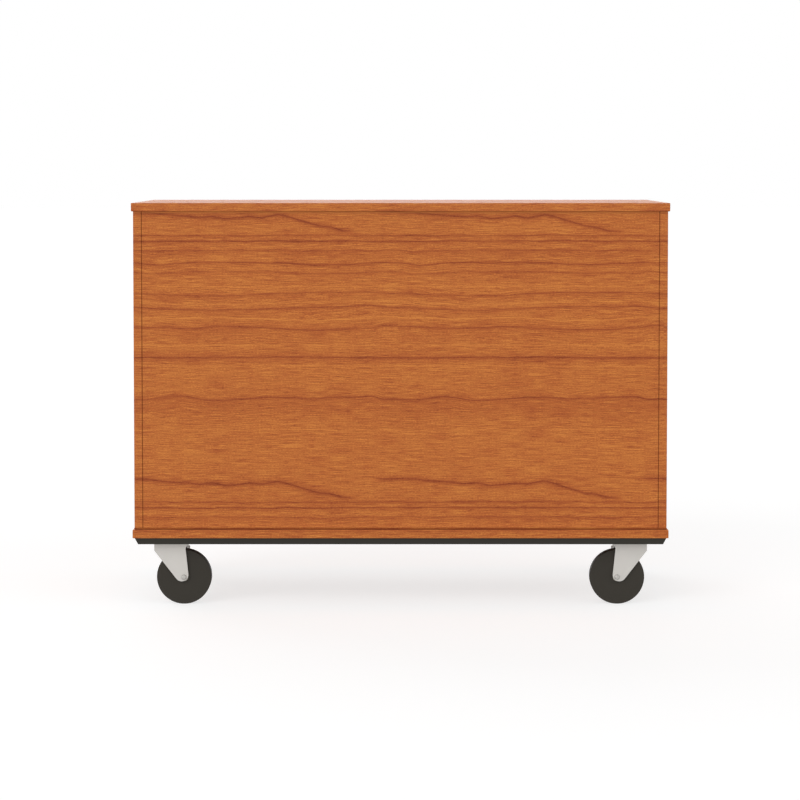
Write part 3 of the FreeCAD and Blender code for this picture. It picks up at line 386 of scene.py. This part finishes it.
class Finish(Nodes):
    """A material and the calls that only a surface needs."""

    def __init__(self, name):
        self.material = bpy.data.materials.new(name)
        self.material.use_nodes = True
        super().__init__(self.material.node_tree)
        self.shader = self.tree.nodes["Principled BSDF"]

    def point(self):
        """Object coordinates."""
        return self.add("ShaderNodeTexCoord").outputs["Object"]

    def facing(self):
        """The three values of the surface's direction."""
        return self.split(self.add("ShaderNodeTexCoord").outputs["Normal"])

    def combine(self, x, y, z):
        """Vector from three values."""
        node = self.add("ShaderNodeCombineXYZ")
        for socket, value in zip(node.inputs, (x, y, z)):
            self.feed(socket, value)
        return node.outputs[0]

    def scaled(self, values, factors):
        """Vector from three values times their factors."""
        return self.combine(*[self.math("MULTIPLY", *pair) for pair in zip(values, factors)])

    def noise(self, vector, scale, detail, roughness=0.5):
        """Noise between 0 and 1."""
        node = self.add("ShaderNodeTexNoise")
        self.feed(node.inputs["Vector"], vector)
        node.inputs["Scale"].default_value = scale
        node.inputs["Detail"].default_value = detail
        node.inputs["Roughness"].default_value = roughness
        return node.outputs["Fac"]

    def streaks(self, u, v, along, across, layer, detail, roughness=0.5):
        """Noise with its own scale along and across the grain. Each layer is another pattern."""
        place = self.combine(self.math("MULTIPLY", u, along), self.math("MULTIPLY", v, across), layer)
        return self.noise(place, 1.0, detail, roughness)

    def vary(self, value, noise, amount):
        """Value moved up and down by a noise about its middle."""
        return self.math("MULTIPLY_ADD", self.math("SUBTRACT", noise, 0.5), amount, value)

    def blend(self, first, second, share):
        """Mean of two values, with the share of the first."""
        rest = self.math("MULTIPLY", second, 1 - share)
        return self.math("ADD", self.math("MULTIPLY", first, share), rest)

    def repeat(self, value, length):
        """Place from 0 to 1 within a length that repeats."""
        return self.math("FRACT", self.math("DIVIDE", value, length))

    def ramp(self, value, stops, interpolation="LINEAR"):
        """Colour ramp from (place, colour) stops."""
        node = self.add("ShaderNodeValToRGB")
        ramp = node.color_ramp
        ramp.interpolation = interpolation
        while len(ramp.elements) < len(stops):
            ramp.elements.new(0.5)
        for element, (place, colour) in zip(ramp.elements, stops):
            element.position = place
            element.color = colour
        self.feed(node.inputs[0], value)
        return node.outputs[0]

    def mix(self, factor, first, second):
        """Mix of two colours."""
        node = self.add("ShaderNodeMix", data_type="RGBA")
        self.feed(node.inputs[0], factor)
        self.feed(node.inputs[6], first)
        self.feed(node.inputs[7], second)
        return node.outputs[2]

    def surface(self, colour, roughness, metallic=0.0, specular=0.5):
        """Colour and gloss of the shader."""
        self.feed(self.shader.inputs["Base Color"], colour)
        self.feed(self.shader.inputs["Roughness"], roughness)
        self.shader.inputs["Metallic"].default_value = metallic
        self.shader.inputs["Specular IOR Level"].default_value = specular

    def bump(self, height, distance, strength):
        """Fine relief from a height between 0 and 1."""
        node = self.add("ShaderNodeBump")
        node.inputs["Strength"].default_value = strength
        node.inputs["Distance"].default_value = distance
        self.feed(node.inputs["Height"], height)
        self.feed(self.shader.inputs["Normal"], node.outputs[0])


# Wood-grain laminate

def sheet_place(finish, sheet):
    """Place along and across the grain, which lies flat on every face.

    The third value is 1 on faces that look up or down.
    """
    x, y, z = finish.split(finish.point())
    facing = finish.facing()
    faces_side = finish.math("GREATER_THAN", finish.math("ABSOLUTE", facing[0]), SQUARE_ON)
    faces_up = finish.math("GREATER_THAN", finish.math("ABSOLUTE", facing[2]), SQUARE_ON)
    along = finish.math("SUBTRACT", CASE_RIGHT + sheet[0], x)
    along_side = finish.math("ADD", y, SIDE_START + sheet[0])
    across = finish.math("SUBTRACT", CASE_TOP - SHEET_BELOW_TOP + sheet[1], z)
    across_up = finish.math("ADD", y, TOP_START + sheet[1])
    u = finish.remap(faces_side, 0.0, 1.0, along, along_side)
    v = finish.remap(faces_up, 0.0, 1.0, across, across_up)
    return u, v, faces_up


def bend_lines(finish, u, v, wave, ripple):
    """Height on the sheet with the waves of all lines and those of single ones."""
    bent = finish.vary(v, wave, WAVE_RISE)
    bent = finish.vary(bent, ripple, RIPPLE_RISE)
    sheet_u = finish.repeat(u, SHEET_LENGTH)
    sheet_v = finish.repeat(v, SHEET_HEIGHT)
    near = WAVE_NEAR / SHEET_HEIGHT
    far = WAVE_FAR / SHEET_HEIGHT
    for height, turns in LINE_WAVES.items():
        stops = [(place, grey(0.5 + 0.5 * rise / WAVE_LIMIT)) for place, rise in turns]
        rise = finish.math("SUBTRACT", finish.ramp(sheet_u, stops, "EASE"), 0.5)
        off = finish.math("ABSOLUTE", finish.math("SUBTRACT", sheet_v, height / SHEET_HEIGHT))
        reach = finish.remap(off, near, far, 2 * WAVE_LIMIT, 0.0, smooth=True)
        bent = finish.math("MULTIPLY_ADD", rise, reach, bent)
    return bent


def tone_stops(low, high):
    """Ramp stops of the growth lines and golden streaks between two heights of the sheet."""
    steps = []
    for height, strength in GRAIN_LINES:
        for offset, tone, depth in LINE_STEPS:
            steps.append((height + offset, tone - depth * strength))
    for height, strength in GRAIN_GLINTS:
        for offset, rise in GLINT_STEPS:
            steps.append((height + offset, TONE_ABOVE + rise * strength))
    stops = []
    for height, tone in sorted(steps):
        if low <= height < high:
            stops.append(((height - low) / (high - low), grey(tone)))
    return stops


def growth_tone(finish, u, v, bent):
    """Tone of the wood with its growth lines, stronger in some stretches than in others."""
    sheet_v = finish.repeat(bent, SHEET_HEIGHT)
    tone = None
    for part in range(RAMP_COUNT):
        low = part / RAMP_COUNT
        high = (part + 1) / RAMP_COUNT
        stops = tone_stops(low * SHEET_HEIGHT, high * SHEET_HEIGHT)
        part_tone = finish.ramp(finish.remap(sheet_v, low, high), stops)
        past = finish.math("GREATER_THAN", sheet_v, low)
        tone = part_tone if tone is None else finish.mix(past, tone, part_tone)
    stretches = finish.streaks(u, v, along=7.0, across=34.0, layer=9.0, detail=2.0)
    strength = finish.remap(stretches, 0.32, 0.68, LINE_WEAKEST, LINE_STRONGEST)
    tone = finish.math("MULTIPLY_ADD", finish.math("SUBTRACT", tone, TONE_BELOW), strength, TONE_BELOW)
    shades = [(height / SHEET_HEIGHT, grey(shade)) for height, shade in GRAIN_SHADES]
    return finish.math("SUBTRACT", tone, finish.ramp(sheet_v, shades))


def first_line(finish, u, v, wave, ripple):
    """Depth of the first line, which sags, then falls away once in each sheet and fades."""
    sheet_u = finish.repeat(u, SHEET_LENGTH)
    falls = [(place, grey(fall / FALL_LIMIT)) for place, fall in FIRST_LINE_FALL]
    drop = finish.math("MULTIPLY", finish.ramp(sheet_u, falls), FALL_LIMIT / SHEET_HEIGHT)
    height = finish.math("DIVIDE", finish.vary(v, wave, WAVE_RISE), SHEET_HEIGHT)
    height = finish.vary(height, ripple, FIRST_LINE_RIPPLE / SHEET_HEIGHT)
    away = finish.math("WRAP", finish.math("SUBTRACT", height, drop), 0.5, -0.5)
    steps = [(place, grey(depth)) for place, depth in FIRST_LINE_STEPS]
    depth = finish.ramp(finish.remap(away, -FIRST_LINE_REACH, FIRST_LINE_REACH), steps)
    before = finish.remap(sheet_u, *FADE_OUT, 1.0, 0.0, smooth=True)
    after = finish.remap(sheet_u, *FADE_IN, smooth=True)
    return finish.math("MULTIPLY", depth, finish.math("MAXIMUM", before, after))


def case_joint_light_and_shade(finish, colour, faces_up):
    """Colour with narrow dark lines of painted shade where upright panels stand on the lower slab and
    meet each other.

    A paler strip of painted light makes up for the deep shade of the upper slab.
    """
    x, _, z = finish.split(finish.point())
    upright = finish.math("SUBTRACT", 1.0, faces_up)
    above_floor = finish.math("GREATER_THAN", z, FLOOR_TOP)
    below_ceiling = finish.math("LESS_THAN", z, CEILING)
    between = finish.math("MULTIPLY", finish.math("MULTIPLY", above_floor, below_ceiling), upright)
    # Painted light: a paler strip under the upper slab, against the shade that its overhang casts
    strip = finish.remap(z, CEILING - PAINTED_LIGHT_FROM, CEILING - PAINTED_LIGHT_TO, 0.0, PAINTED_LIGHT_STRENGTH)
    colour = finish.mix(finish.math("MULTIPLY", strip, between), colour, linear(*PAINTED_LIGHT_COLOUR))
    # Painted shade: a dark line just above the lower slab, where shade gathers in the joint
    foot_shade = finish.remap(z, FLOOR_TOP, FLOOR_TOP + FOOT_SHADE_HEIGHT, FOOT_SHADE_STRENGTH, 0.0)
    # Painted shade: dark seams where the rear panel meets the sides
    from_seam = finish.math("ABSOLUTE", finish.math("SUBTRACT", finish.math("ABSOLUTE", x), BACK_EDGE))
    seam = finish.math("MULTIPLY", finish.math("LESS_THAN", from_seam, SEAM_SHADE_HALF), SEAM_SHADE_STRENGTH)
    shade = finish.math("MAXIMUM", foot_shade, seam)
    return finish.mix(finish.math("MULTIPLY", shade, between), colour, linear(*JOINT_SHADE_COLOUR))


def laminate(name, sheet, joint_light_and_shade=False):
    """Cherry wood-grain laminate, with the lines of painted shade at the joints on the case and a strip
    of painted light under the upper slab.
    """
    finish = Finish(name)
    u, v, faces_up = sheet_place(finish, sheet)
    wave = finish.streaks(u, v, along=3.6, across=7.0, layer=0.0, detail=2.0)
    ripple = finish.streaks(u, v, along=17.0, across=30.0, layer=4.0, detail=1.0)
    bent = bend_lines(finish, u, v, wave, ripple)
    tone = growth_tone(finish, u, v, bent)
    line = first_line(finish, u, v, wave, ripple)
    tone = finish.math("MULTIPLY_ADD", line, -FIRST_LINE_DEPTH, tone)

    # Fibres, pores, specks and cloudy patches
    fibre = finish.streaks(u, bent, along=18.0, across=900.0, layer=1.0, detail=3.0, roughness=0.65)
    band = finish.streaks(u, bent, along=4.0, across=85.0, layer=2.0, detail=2.0)
    pores = finish.streaks(u, bent, along=50.0, across=800.0, layer=3.0, detail=1.0)
    pore = finish.remap(pores, 0.56, 0.70)
    speck = finish.streaks(u, bent, along=240.0, across=900.0, layer=5.0, detail=1.0)
    cloud = finish.streaks(u, bent, along=6.0, across=12.0, layer=7.0, detail=2.0)
    tone = finish.vary(tone, fibre, finish.remap(tone, 0.25, 0.65, FIBRE_IN_LINES, FIBRE_IN_WOOD))
    tone = finish.vary(tone, band, BAND_AMOUNT)
    tone = finish.vary(tone, cloud, CLOUD_AMOUNT)
    tone = finish.vary(tone, speck, SPECK_AMOUNT)
    tone = finish.math("MULTIPLY_ADD", pore, -PORE_DEPTH, tone)
    tone = finish.math("ADD", tone, TONE_LIFT)

    colour = finish.ramp(tone, [(place, linear(*shade)) for place, shade in WOOD_COLOURS])
    # On the case, painted shade darkens the joints and painted light brightens the strip under the upper
    # slab
    if joint_light_and_shade:
        colour = case_joint_light_and_shade(finish, colour, faces_up)
    gloss = finish.math("MULTIPLY_ADD", fibre, 0.14, 0.42)
    relief = finish.math("MULTIPLY_ADD", pore, -0.6, fibre)
    finish.surface(colour, gloss, specular=0.09)
    finish.bump(relief, distance=0.00008, strength=0.5)
    return finish.material


# Other finishes

def coated_steel(name, colour):
    """Powder-coated steel with a fine orange-peel grain."""
    finish = Finish(name)
    point = finish.point()
    grain = finish.noise(point, scale=900.0, detail=3.0, roughness=0.6)
    cloud = finish.noise(point, scale=14.0, detail=2.0)
    shade = finish.mix(finish.blend(grain, cloud, 0.5), dimmed(colour, 0.82), colour)
    finish.surface(shade, finish.remap(grain, 0.3, 0.7, 0.44, 0.56), specular=0.25)
    finish.bump(grain, distance=0.0001, strength=0.4)
    return finish.material


def plated_steel(name, colour, roughness, stretch=(1.0, 1.0, 1.0), inside=None, front=None):
    """Plated steel with faint drawn lines and cloudy patches.

    A fork's faces toward its wheel, and those that look down, are darkened with painted shade, and so is
    a keyway behind the front of its plug.
    """
    finish = Finish(name)
    point = finish.point()
    place = finish.split(point)
    drawn = finish.noise(finish.scaled(place, stretch), scale=700.0, detail=2.0, roughness=0.6)
    cloud = finish.noise(point, scale=30.0, detail=3.0)
    tone = finish.blend(drawn, cloud, 0.35)
    gloss = finish.math("ADD", roughness - 0.06, finish.math("MULTIPLY", tone, 0.12))
    shade = finish.mix(tone, dimmed(colour, 0.86), colour)
    # Painted shade on the fork's inner and downward faces, in place of the cabinet's shadow on them
    if inside is not None:
        axis, middle = inside
        facing = finish.facing()
        off_middle = finish.math("SUBTRACT", place[axis], middle)
        inward = finish.math("LESS_THAN", finish.math("MULTIPLY", facing[axis], off_middle), -FORK_CLEAR)
        downward = finish.math("LESS_THAN", facing[2], -LOOKS_DOWN)
        fork_shade = finish.math("MAXIMUM", inward, downward)
        shade = finish.mix(fork_shade, shade, linear(*FORK_SHADE_COLOUR))
    if front is not None:
        # Painted shade in the keyway, standing in for the dark inside of the slot
        behind = finish.math("GREATER_THAN", place[1], front + KEYWAY_BEHIND)
        shade = finish.mix(behind, shade, linear(*KEYWAY_SHADE_COLOUR))
    finish.surface(shade, gloss, metallic=0.75)
    finish.bump(drawn, distance=0.00004, strength=0.3)
    return finish.material


def moulded(name, colour, roughness, axle=None):
    """Moulded rubber or plastic with a fine matt skin.

    A wheel's tread is darker than its faces, with painted shade.
    """
    finish = Finish(name)
    point = finish.point()
    skin = finish.noise(point, scale=500.0, detail=4.0, roughness=0.6)
    cloud = finish.noise(point, scale=22.0, detail=3.0)
    shade = finish.mix(finish.blend(skin, cloud, 0.4), dimmed(colour, 0.8), colour)
    if axle is not None:
        # Painted shade on the tread, in place of the cabinet's shadow on the wheel
        tread = finish.math("LESS_THAN", finish.math("ABSOLUTE", finish.facing()[axle]), TREAD_TURN)
        shade = finish.mix(tread, shade, dimmed(colour, 0.35))
    gloss = finish.remap(skin, 0.3, 0.7, roughness - 0.08, roughness + 0.08)
    finish.surface(shade, gloss, specular=0.25)
    finish.bump(skin, distance=0.00012, strength=0.35)
    return finish.material


def bare_wood(name):
    """Pale beech of the dowels."""
    finish = Finish(name)
    place = finish.scaled(finish.split(finish.point()), (900.0, 900.0, 60.0))
    fibre = finish.noise(place, scale=1.0, detail=3.0)
    finish.surface(finish.mix(fibre, linear(186, 148, 104), linear(216, 184, 140)), 0.6)
    return finish.material


# Finishes by the record's material slots, and those of single nodes

FINISHES = {
    "cherry_laminate": laminate("cherry_laminate", CASE_SHEET, joint_light_and_shade=True),
    "dowel_wood": bare_wood("dowel_wood"),
    "black_steel": coated_steel("black_steel", linear(53, 51, 44)),
    "zinc_steel": plated_steel("zinc_steel", linear(*ZINC_COLOUR), ZINC_ROUGHNESS),
    "bearing_steel": plated_steel("bearing_steel", linear(180, 178, 173), 0.4),
    "bush_nylon": moulded("bush_nylon", linear(206, 202, 190), 0.5),
    "pedal_black": coated_steel("pedal_black", linear(40, 40, 41)),
    "satin_nickel": plated_steel("satin_nickel", linear(196, 192, 184), 0.34, stretch=(1.0, 1.0, 0.06)),
    "lock_chrome": plated_steel("lock_chrome", linear(182, 182, 181), CHROME_ROUGHNESS),
    "catch_plastic": moulded("catch_plastic", linear(222, 218, 208), 0.5),
}


def node_finishes():
    """Finishes of the nodes that differ from their slot's."""
    finishes = {"bottom_panel": laminate("cherry_laminate_base", BASE_SHEET)}
    doors = laminate("cherry_laminate_doors", DOOR_SHEET)
    for name in ("left_door", "right_door"):
        finishes[name] = doors
    shelves = laminate("cherry_laminate_shelves", SHELF_SHEET)
    for name in ("upper_shelf", "lower_shelf"):
        finishes[name] = shelves
    plug_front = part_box("lock_plug")[0].y
    finishes["lock_plug"] = plated_steel(
        "lock_chrome_plug", linear(170, 170, 169), CHROME_ROUGHNESS, front=plug_front)
    rubber = {}
    # Wheel rubber with painted shade on the tread, one copy for each direction of the axle
    for end, axle in (("rear", 1), ("front", 0)):
        name = "wheel_rubber_" + end
        rubber[axle] = moulded(name, linear(*RUBBER_COLOUR), RUBBER_ROUGHNESS, axle=axle)
    for corner, axle in CASTER_AXLES.items():
        low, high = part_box(corner + "_fork")
        middle = (low[axle] + high[axle]) / 2
        # Each fork has its own copy of the zinc finish, with painted shade on its faces toward the wheel
        finishes[corner + "_fork"] = plated_steel(
            "zinc_steel_" + corner, linear(*ZINC_COLOUR), ZINC_ROUGHNESS, inside=(axle, middle))
        finishes[corner + "_wheel"] = rubber[axle]
    return finishes


def finish_nodes():
    """Every node of the frame gets its finish."""
    own = node_finishes()
    for part in frame["record"]["subparts"]:
        materials = frame["nodes"][part["node"]].data.materials
        materials.clear()
        materials.append(own.get(part["node"]) or FINISHES[part["material_slot"]])


# Screws

def screw(place, axis, head, turn):
    """Low domed screw head with a cross recess, standing on a surface."""
    radius, height = head
    shape = bmesh.new()
    rings = []
    for share, rise in HEAD_OUTLINE:
        ring = []
        for step in range(HEAD_SIDES):
            angle = 2 * math.pi * step / HEAD_SIDES
            x = radius * share * math.cos(angle)
            y = radius * share * math.sin(angle)
            ring.append(shape.verts.new((x, y, height * rise)))
        rings.append(ring)
    for low, high in zip(rings, rings[1:]):
        for step in range(HEAD_SIDES):
            follow = (step + 1) % HEAD_SIDES
            shape.faces.new((low[step], low[follow], high[follow], high[step]))
    cut_recess(shape, rings[-1], radius, height)
    bmesh.ops.recalc_face_normals(shape, faces=shape.faces)
    spin = Matrix.Rotation(math.radians(turn), 4, "Z")
    stand = Vector(axis).to_track_quat("Z", "Y").to_matrix().to_4x4()
    shape.transform(Matrix.Translation(place) @ stand @ spin)
    mesh = bpy.data.meshes.new("screw")
    shape.to_mesh(mesh)
    shape.free()
    return mesh


def cut_recess(shape, edge, radius, height):
    """Upper face of a screw head, inside the edge of its dome, with the cross recess."""
    arm = radius * RECESS_ARM
    half = radius * RECESS_HALF
    cross = [(half, half), (half, arm), (-half, arm), (-half, half), (-arm, half), (-arm, -half)]
    cross += [(-x, -y) for x, y in cross]
    upper = [shape.verts.new((x, y, height)) for x, y in cross]
    lower = []
    for x, y in cross:
        lower.append(shape.verts.new((x * RECESS_TAPER, y * RECESS_TAPER, height * RECESS_BOTTOM)))
    rim = []
    for ring in (edge, upper):
        for step, vertex in enumerate(ring):
            pair = (vertex, ring[(step + 1) % len(ring)])
            rim.append(shape.edges.get(pair) or shape.edges.new(pair))
    bmesh.ops.triangle_fill(shape, edges=rim, use_beauty=True)
    for step in range(len(cross)):
        follow = (step + 1) % len(cross)
        shape.faces.new((upper[step], upper[follow], lower[follow], lower[step]))
    shape.faces.new(lower)


def fix_screws(body, spots):
    """All the screws of one body as one piece."""
    shape = bmesh.new()
    for index, (place, axis, head) in enumerate(spots):
        mesh = screw(place, axis, head, FIRST_TURN + NEXT_TURN * index)
        shape.from_mesh(mesh)
        bpy.data.meshes.remove(mesh)
    mesh = bpy.data.meshes.new(body + "_screws")
    shape.to_mesh(mesh)
    shape.free()
    for face in mesh.polygons:
        face.use_smooth = len(face.vertices) == 4
    mesh.set_sharp_from_angle(angle=math.radians(SHARP_ANGLE))
    mesh.materials.append(FINISHES["zinc_steel"])
    piece = bpy.data.objects.new(body + "_screws", mesh)
    bpy.context.scene.collection.objects.link(piece)
    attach(piece, body)


def hinge_screws(side):
    """Screws of the hinges on the left (-1) or right (1): those in the case and those in the door."""
    name = "right" if side > 0 else "left"
    frame_low, frame_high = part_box(name + "_hinge_frame_leaves")
    door_low, door_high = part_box(name + "_hinge_door_leaves")
    inner_x = frame_low.x if side > 0 else frame_high.x
    leaf_x = door_low.x + DOOR_HOLE_INSET if side > 0 else door_high.x - DOOR_HOLE_INSET
    leaf_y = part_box(name + "_door")[1].y + HINGE_LEAF
    in_case = []
    in_door = []
    for base in (frame_low.z, frame_high.z - HINGE_HEIGHT):
        for rise, back in CASE_HOLES:
            place = Vector((inner_x, frame_high.y - back, base + rise))
            in_case.append((place, (-side, 0, 0), HINGE_HEAD))
        for rise in DOOR_HOLES:
            place = Vector((leaf_x, leaf_y, base + rise))
            in_door.append((place, (0, 1, 0), HINGE_HEAD))
    return in_case, in_door


def catch_screws():
    """Two screws in each catch under the upper slab."""
    low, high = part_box("door_catches")
    spots = []
    for side in (-1, 1):
        outer = high.x if side > 0 else low.x
        for inset in CATCH_HOLE_INSETS:
            place = Vector((outer - side * inset, high.y - CATCH_HOLE_BACK, low.z))
            spots.append((place, (0, 0, -1), CATCH_HEAD))
    return spots


def bolt_screws():
    """Screws of the lock's keeper and of the bolt's housing, inside the left door."""
    plate_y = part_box("left_door")[1].y + PLATE
    low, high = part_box("lock_keeper")
    spots = []
    for rise in (-KEEPER_HOLE_RISE, KEEPER_HOLE_RISE):
        place = Vector((low.x + KEEPER_HOLE_INSET, plate_y, (low.z + high.z) / 2 + rise))
        spots.append((place, (0, 1, 0), KEEPER_HEAD))
    low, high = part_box("bolt_housing")
    for x in (low.x + HOUSING_HOLE_INSET, high.x - HOUSING_HOLE_INSET):
        for rise in (-HOUSING_HOLE_RISE, HOUSING_HOLE_RISE):
            place = Vector((x, plate_y, (low.z + high.z) / 2 + rise))
            spots.append((place, (0, 1, 0), HOUSING_HEAD))
    return spots


def strike_screws(name):
    """Two flat screws in a strike plate."""
    low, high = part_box(name)
    middle = (low + high) / 2
    spots = []
    for off in (-STRIKE_HOLE_OFF, STRIKE_HOLE_OFF):
        spots.append((Vector((middle.x + off, high.y, middle.z)), (0, 1, 0), STRIKE_HEAD))
    return spots


def all_screws():
    """The screws of the case and of both doors."""
    left_case, left_door = hinge_screws(-1)
    right_case, right_door = hinge_screws(1)
    fix_screws("cabinet", left_case + right_case + catch_screws())
    fix_screws("left_door", left_door + bolt_screws() + strike_screws("left_strike_plate"))
    fix_screws("right_door", right_door + strike_screws("right_strike_plate"))


# Studio

def studio_floor():
    """Pale floor that keeps the shadow and shows white to the camera."""
    mesh = bpy.data.meshes.new("studio_floor")
    corners = [(x * FLOOR_REACH, y * FLOOR_REACH, 0) for x, y in ((-1, -1), (1, -1), (1, 1), (-1, 1))]
    mesh.from_pydata(corners, [], [(0, 1, 2, 3)])
    floor = bpy.data.objects.new("studio_floor", mesh)
    bpy.context.scene.collection.objects.link(floor)
    finish = Finish("studio_floor")
    finish.surface(grey(FLOOR_GREY), 1.0, specular=0.0)
    finish.shader.inputs["Emission Color"].default_value = grey(1.0)
    glow = finish.math("MULTIPLY", finish.seen(), FLOOR_GLOW)
    finish.feed(finish.shader.inputs["Emission Strength"], glow)
    mesh.materials.append(finish.material)


def studio_world():
    """Even light from all round, weaker overhead, and white where the camera and mirrors see it."""
    world = bpy.data.worlds.new("studio_world")
    world.use_nodes = True
    bpy.context.scene.world = world
    nodes = Nodes(world.node_tree)
    toward = nodes.split(nodes.add("ShaderNodeTexCoord").outputs["Generated"])
    sky = nodes.remap(toward[2], 0.0, 1.0, WORLD_LIGHT, OVERHEAD_LIGHT)
    background = nodes.tree.nodes["Background"]
    background.inputs["Color"].default_value = grey(1.0)
    nodes.feed(background.inputs["Strength"], nodes.remap(nodes.seen(), 0.0, 1.0, sky, 1.0))


def studio_lamp(name, azimuth, elevation, strength, softness):
    """Soft far lamp. Azimuth 0 shines from -Y and 180 from +Y."""
    lamp = bpy.data.lights.new(name, "SUN")
    lamp.energy = strength
    lamp.angle = math.radians(softness)
    holder = bpy.data.objects.new(name, lamp)
    turn = math.radians(azimuth)
    rise = math.radians(elevation)
    level = math.cos(rise)
    toward = Vector((math.sin(turn) * level, -math.cos(turn) * level, math.sin(rise)))
    holder.rotation_euler = toward.to_track_quat("Z", "Y").to_euler()
    bpy.context.scene.collection.objects.link(holder)


def studio_camera():
    """Long lens, a little above the upper slab, facing the cabinet's rear."""
    data = bpy.data.cameras.new("camera")
    data.lens = CAMERA_LENS
    data.sensor_width = CAMERA_SENSOR
    data.shift_x = CAMERA_SHIFT_X
    data.shift_y = CAMERA_SHIFT_Y
    camera = bpy.data.objects.new("camera", data)
    camera.location = (0.0, CASE_REAR + CAMERA_DISTANCE, CASE_TOP + CAMERA_ABOVE_TOP)
    camera.rotation_euler = (math.radians(90 - CAMERA_PITCH), 0.0, math.radians(180))
    bpy.context.scene.collection.objects.link(camera)
    bpy.context.scene.camera = camera


finish_nodes()
all_screws()
studio_floor()
studio_world()
for lamp in LAMPS:
    studio_lamp(*lamp)
studio_camera()
bpy.context.scene.view_settings.view_transform = "Standard"
